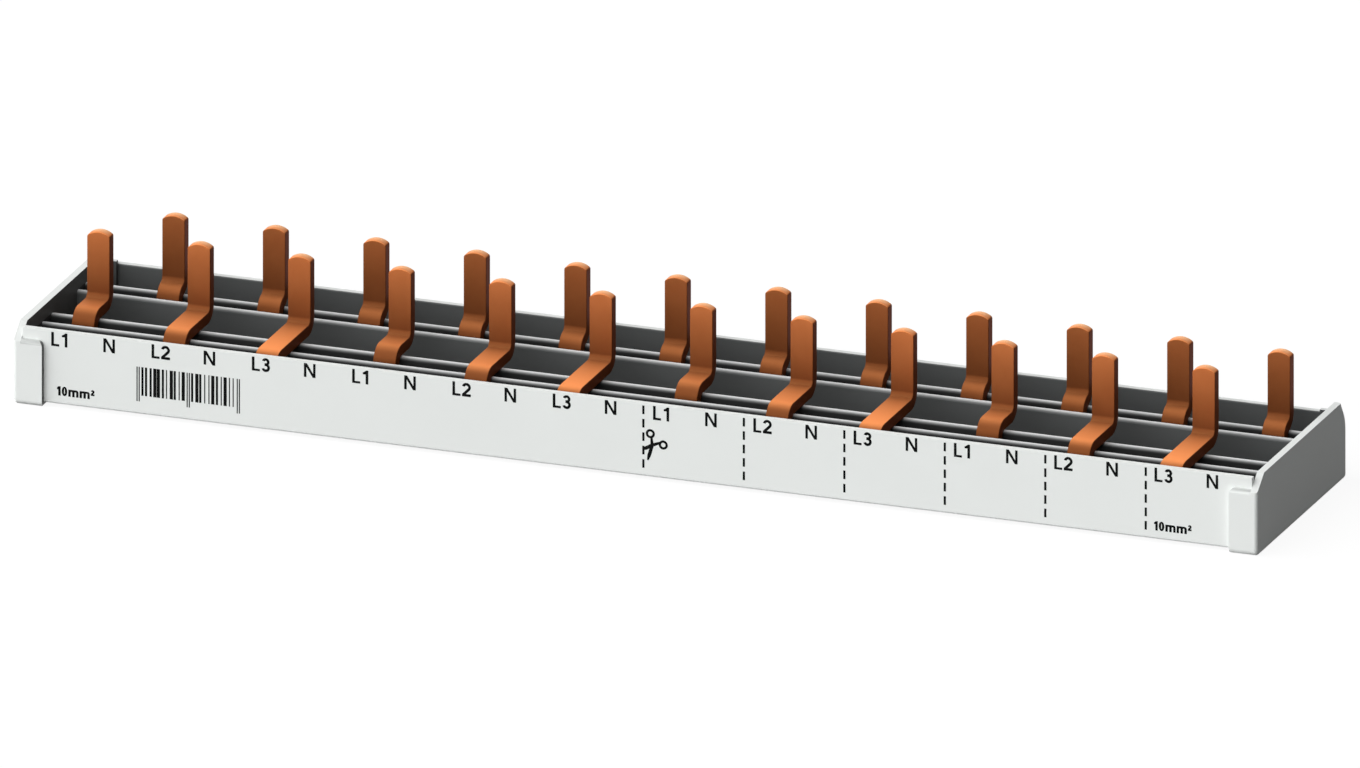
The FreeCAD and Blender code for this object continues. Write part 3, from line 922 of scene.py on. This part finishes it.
# %% [markdown]
# Where the busbar may be cut to length, a dashed line runs up the wall. One dash is set out up the
# wall first, and that column is then set out along it with the same tree.

# %% Print the cut lines
DASH_WIDTH = 0.4 * MM
DASH_LENGTH = 1.53 * MM
DASH_PITCH = 2.39 * MM
DASH_FOOT = 2.16 * MM
DASHES_IN_LINE = 5
FIRST_CUT = 1.1 * MM
CUT_LINES = 6
CORNERS_OF_DASH = 8


def rectangle(width, height):
    """Outline of an upright rectangle that stands on the middle of its lower side."""
    return [(-width / 2, 0), (width / 2, 0), (width / 2, height), (-width / 2, height)]


cut_lines = inked("print_cut_lines", [rectangle(DASH_WIDTH, DASH_LENGTH)])
grown(cut_lines, row_tree, {
    "First": (0, 0, DASH_FOOT), "Step": (0, 0, DASH_PITCH), "Count": DASHES_IN_LINE, "Material": ink})
grown(cut_lines, row_tree, {
    "First": (FIRST_CUT, 0, 0), "Step": (PITCH, 0, 0), "Count": CUT_LINES, "Material": ink})
prints.append(cut_lines)
print("dashes:", len(cut_lines.data.vertices) // CORNERS_OF_DASH)

# %% [markdown]
# A block of bars of uneven width stands near the left end. It carries no number: each bar's width
# and place come from seeded random values, so the bars mean nothing and are the same on every
# run. A wide bar is at most three thin ones, and no bar moves so far that it meets its neighbour.
# Longer pairs of bars frame the block's two halves.

# %% Print the block of bars
THIN_BAR = 0.193 * MM
BARS_IN_HALF = 11
BAR_PITCH = 3.8 * THIN_BAR
BAR_WANDER = 0.35 * THIN_BAR
WIDEST_BAR = 3
BAR_SEED = 4
BARS_START = -89.6 * MM
BARS_FOOT = 4.0 * MM
BARS_HEIGHT = 5.1 * MM
BAR_PAIRS = 3
PAIR_FOOT = 2.95 * MM
PAIR_GAP = 2 * THIN_BAR
PAIR_PITCH = 46.5 * THIN_BAR
BARS_AFTER_PAIR = PAIR_GAP + 0.75 * BAR_PITCH

bar_tree, given, points = new_tree("bars of uneven width", (
    ("Widest", "NodeSocketInt"), ("Wander", "NodeSocketVector"), ("Seed", "NodeSocketInt")))
opposite = add_node(bar_tree, "ShaderNodeVectorMath", {"operation": "SCALE"},
                    {0: given["Wander"], "Scale": -1.0})
shift = add_node(bar_tree, "FunctionNodeRandomValue", {"data_type": "FLOAT_VECTOR"},
                 {"Min": opposite, "Max": given["Wander"], "Seed": given["Seed"]})
strewn = add_node(bar_tree, "GeometryNodeSetPosition", inputs={"Geometry": points, "Offset": shift})
widths = add_node(bar_tree, "FunctionNodeRandomValue", {"data_type": "INT"},
                  {"Min": 1, "Max": given["Widest"], "Seed": given["Seed"]})
stretch = add_node(bar_tree, "ShaderNodeCombineXYZ", inputs={"X": widths, "Y": 1.0, "Z": 1.0})
bars = add_node(bar_tree, "GeometryNodeInstanceOnPoints", inputs={
    "Points": strewn, "Instance": given["Geometry"],
    "Scale": stretch})
finish_tree(bar_tree, given, bars)

for half in range(BAR_PAIRS - 1):
    first_bar = BARS_START + half * PAIR_PITCH + BARS_AFTER_PAIR
    thin_bar = inked("print_bars_" + str(half + 1), [rectangle(THIN_BAR, BARS_HEIGHT)])
    prints.append(grown(thin_bar, bar_tree, {
        "First": (first_bar, 0, BARS_FOOT), "Step": (BAR_PITCH, 0, 0), "Count": BARS_IN_HALF,
        "Widest": WIDEST_BAR, "Wander": (BAR_WANDER, 0, 0), "Seed": BAR_SEED + half, "Material": ink}))
bar_pairs = inked("print_bar_pairs", [rectangle(THIN_BAR, BARS_FOOT + BARS_HEIGHT - PAIR_FOOT)])
grown(bar_pairs, row_tree, {
    "First": (0, 0, 0), "Step": (PAIR_GAP, 0, 0), "Count": 2, "Material": ink})
grown(bar_pairs, row_tree, {
    "First": (BARS_START, 0, PAIR_FOOT), "Step": (PAIR_PITCH, 0, 0), "Count": BAR_PAIRS,
    "Material": ink})
prints.append(bar_pairs)
print("bars:", 2 * BARS_IN_HALF, "and", BAR_PAIRS, "longer pairs")

# %% [markdown]
# A pair of scissors at the first cut line says what the dashes are for. Two rings and two limbs
# that widen into pointed blades cross at a pivot. The second half lies over the first, so its ink
# is a hair thicker. Each limb is again thicker than its ring, so no two faces share a plane.

# %% Print the scissors
PIVOT = Vector((2.68, 6.38)) * MM
RING_MIDDLES = (Vector((-0.33, 2.0)) * MM, Vector((1.98, 0.27)) * MM)
LIMB_STARTS = (Vector((-0.12, 1.27)) * MM, Vector((1.34, 0.57)) * MM)
BLADE_POINTS = (Vector((-0.80, -2.75)) * MM, Vector((-1.65, -0.95)) * MM)
RING_OUTER = 0.82 * MM
RING_INNER = 0.4 * MM
LIMB_WIDTH = 0.4 * MM
BLADE_WIDTH = 0.62 * MM
TAPER_START = 0.7
RING_STEPS = 28
UPPER_HALF_RISE = 0.2
LIMB_RISE = 1.1


def limb(start, point):
    """Outline of a bar from a ring's rim to the pivot, where it widens into a pointed blade."""
    ahead = point.normalized()
    sides = []
    stations = ((start, LIMB_WIDTH, -start.normalized()), (Vector((0, 0)), BLADE_WIDTH, ahead),
                (point * TAPER_START, BLADE_WIDTH, ahead), (point, LIMB_WIDTH * TAPER_START, ahead))
    for place, width, heading in stations:
        side = Vector((-heading.y, heading.x)) * width / 2
        sides.append((place + side, place - side))
    outline = [left for left, right in sides] + [right for left, right in reversed(sides)]
    return [tuple(PIVOT + corner) for corner in outline]


for half in range(2):
    middle = PIVOT + RING_MIDDLES[half]
    bar = limb(LIMB_STARTS[half], BLADE_POINTS[half])
    ring = [arc(middle, radius, 0, 360, RING_STEPS)[:-1] for radius in (RING_OUTER, RING_INNER)]
    thickness = INK * (1 + UPPER_HALF_RISE * half)
    prints.append(inked("print_scissors_ring_" + str(half + 1), ring, thickness))
    prints.append(inked("print_scissors_limb_" + str(half + 1), [bar], thickness * LIMB_RISE))
print("printed pieces:", len(prints))

# %% [markdown]
# ## Riding on the frame
# The busbar has no moving parts, so everything rides on its one body, and the solid that each new
# piece stands for is hidden. The ink stands for no solid.

# %% Tie every piece to the frame
for piece, node, slot in ((channel, "insulating_profile", "profile_plastic"),
                          (left_cap, "end_cap_left", "cap_plastic"),
                          (right_cap, "end_cap_right", "cap_plastic")):
    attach(piece, "root")
    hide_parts(node)
for piece, node in combs:
    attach(piece, "root")
    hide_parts(node)
for piece in prints:
    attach(piece, "root")

# %% [markdown]
# ## Floor and light
# The busbar lies on a plain white table that fades into a white background. What the camera and
# the reflections see of both is white, while the light that they send onto the object is kept
# low, so that faces turned away from the lamp stay dark. The table glows only where it is seen
# directly, and still takes a soft shadow.

# %% Make the floor, the world and the lamp
def seen_directly(tree):
    """1 for rays from the camera, a reflection or a transmission, and 0 for light that bounces."""
    path = add_node(tree, "ShaderNodeLightPath")
    seen = add_node(tree, "ShaderNodeMath", {"operation": "MAXIMUM"},
                    {0: path.outputs["Is Camera Ray"], 1: path.outputs["Is Glossy Ray"]})
    return add_node(tree, "ShaderNodeMath", {"operation": "MAXIMUM"},
                    {0: seen, 1: path.outputs["Is Transmission Ray"]})


WHITE = linear("#ffffff")
TABLE_HALF = 1.5
TABLE_GREY = linear("#5c5c5c")
TABLE_GLOW = 0.91
table_mesh = bpy.data.meshes.new("table_top")
table_corners = [(-TABLE_HALF, -TABLE_HALF, 0), (TABLE_HALF, -TABLE_HALF, 0),
                 (TABLE_HALF, TABLE_HALF, 0), (-TABLE_HALF, TABLE_HALF, 0)]
table_mesh.from_pydata(table_corners, [], [(0, 1, 2, 3)])
table_paint, table_tree, table_surface = empty_material("white_table")
table_top = placed("table_top", table_mesh, table_paint)
glow_share = add_node(table_tree, "ShaderNodeMath", {"operation": "MULTIPLY"},
                      {0: seen_directly(table_tree), 1: TABLE_GLOW})
glow = add_node(table_tree, "ShaderNodeEmission",
                inputs={"Color": WHITE, "Strength": glow_share})
matt = add_node(table_tree, "ShaderNodeBsdfDiffuse", inputs={"Color": TABLE_GREY})
both = add_node(table_tree, "ShaderNodeAddShader", inputs={0: glow, 1: matt})
table_tree.links.new(both.outputs[0], table_surface)

ROOM_LIGHT = 0.05
room = bpy.data.worlds.new("white_room")
bpy.context.scene.world = room
room.use_nodes = True
room_tree = room.node_tree
room_tree.nodes.clear()
dim = add_node(room_tree, "ShaderNodeBackground", inputs={"Color": WHITE, "Strength": ROOM_LIGHT})
white = add_node(room_tree, "ShaderNodeBackground", inputs={"Color": WHITE, "Strength": 1.0})
mixed = add_node(room_tree, "ShaderNodeMixShader",
                 inputs={0: seen_directly(room_tree), 1: dim, 2: white})
add_node(room_tree, "ShaderNodeOutputWorld", inputs={"Surface": mixed})

LAMP_DIRECTION = Vector((-0.5, -0.6, 0.5))
LAMP_STRENGTH = 5.2
LAMP_SPREAD = math.radians(106)
lamp = bpy.data.lights.new("softbox", "SUN")
lamp.energy = LAMP_STRENGTH
lamp.angle = LAMP_SPREAD
softbox = bpy.data.objects.new("softbox", lamp)
bpy.context.scene.collection.objects.link(softbox)
softbox.rotation_euler = LAMP_DIRECTION.to_track_quat("Z", "Y").to_euler()
print("lamp from", [round(value, 2) for value in LAMP_DIRECTION.normalized()])

# %% [markdown]
# ## Camera
# The photograph has no perspective: lines that are parallel on the object are parallel in the
# picture. So the camera is orthographic. It is turned to the photograph's viewing angle and moved
# until one known corner falls on its pixel: the lower front corner of the right cap, which is
# rounded and so lies a little inside the cap's box.

# %% Make the camera
PICTURE = (1360, 768)
PIXELS_PER_METRE = 5951.5
AZIMUTH = math.radians(20.29)
ELEVATION = math.radians(19.437)
CORNER_INSET = 0.25 * MM
CORNER = Vector((cap_high.x - CORNER_INSET, cap_low.y, cap_low.z + CORNER_INSET))
CORNER_PIXEL = (1255.63, 555.9)
DISTANCE = 1.0

right = Vector((math.cos(AZIMUTH), math.sin(AZIMUTH), 0))
back = Vector((math.sin(AZIMUTH) * math.cos(ELEVATION), -math.cos(AZIMUTH) * math.cos(ELEVATION),
               math.sin(ELEVATION)))
up = back.cross(right)
across = (CORNER_PIXEL[0] - PICTURE[0] / 2) / PIXELS_PER_METRE
down = (CORNER_PIXEL[1] - PICTURE[1] / 2) / PIXELS_PER_METRE
target = CORNER - right * across + up * down
lens = bpy.data.cameras.new("camera")
lens.type = "ORTHO"
lens.ortho_scale = PICTURE[0] / PIXELS_PER_METRE
camera = bpy.data.objects.new("camera", lens)
bpy.context.scene.collection.objects.link(camera)
camera.location = target + back * DISTANCE
camera.rotation_euler = back.to_track_quat("Z", "Y").to_euler()
bpy.context.scene.camera = camera
bpy.context.scene.view_settings.view_transform = "Standard"
print("camera at", [round(value, 3) for value in camera.location])
